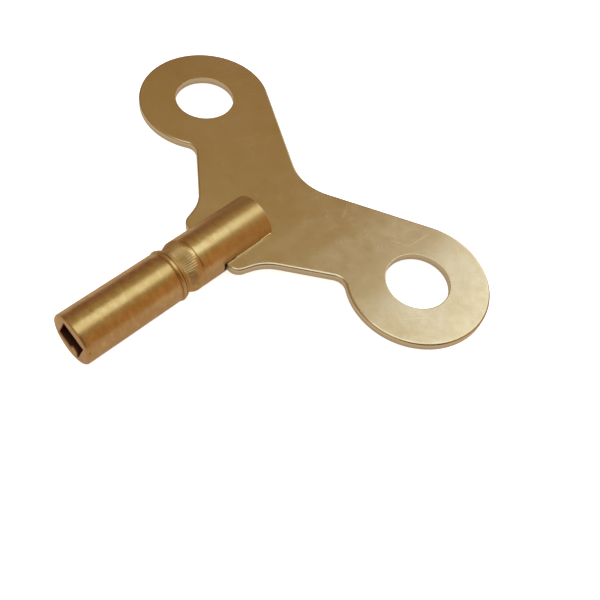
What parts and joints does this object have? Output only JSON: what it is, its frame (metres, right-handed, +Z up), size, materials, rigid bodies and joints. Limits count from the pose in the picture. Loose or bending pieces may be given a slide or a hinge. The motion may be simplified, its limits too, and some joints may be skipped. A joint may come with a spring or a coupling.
{
  "type": "radiator bleed key",
  "caption": "Winged brass key whose turned barrel has a square socket at its end, for opening and closing a radiator's air vent by hand.",
  "frame": {"origin": "under the middle of the key's overall length, on its plane of symmetry, at the barrel's lowest point", "axes": "+Y along the barrel from the socket mouth to the wing, +X across the wing, +Z up, square to the wing's flat faces"},
  "size_m": [0.0834, 0.0654, 0.0098],
  "materials": {
    "turned_brass": "satin, turned, with fine tool lines round the axis",
    "sheet_brass": "satin, rolled sheet with fine scratches and sheared edges",
    "solder": "satin, pale silver-solder"
  },
  "bodies": {
    "root": {"barrel": "turned_brass", "wing": "sheet_brass", "solder_seam": "solder"}
  },
  "joints": []
}
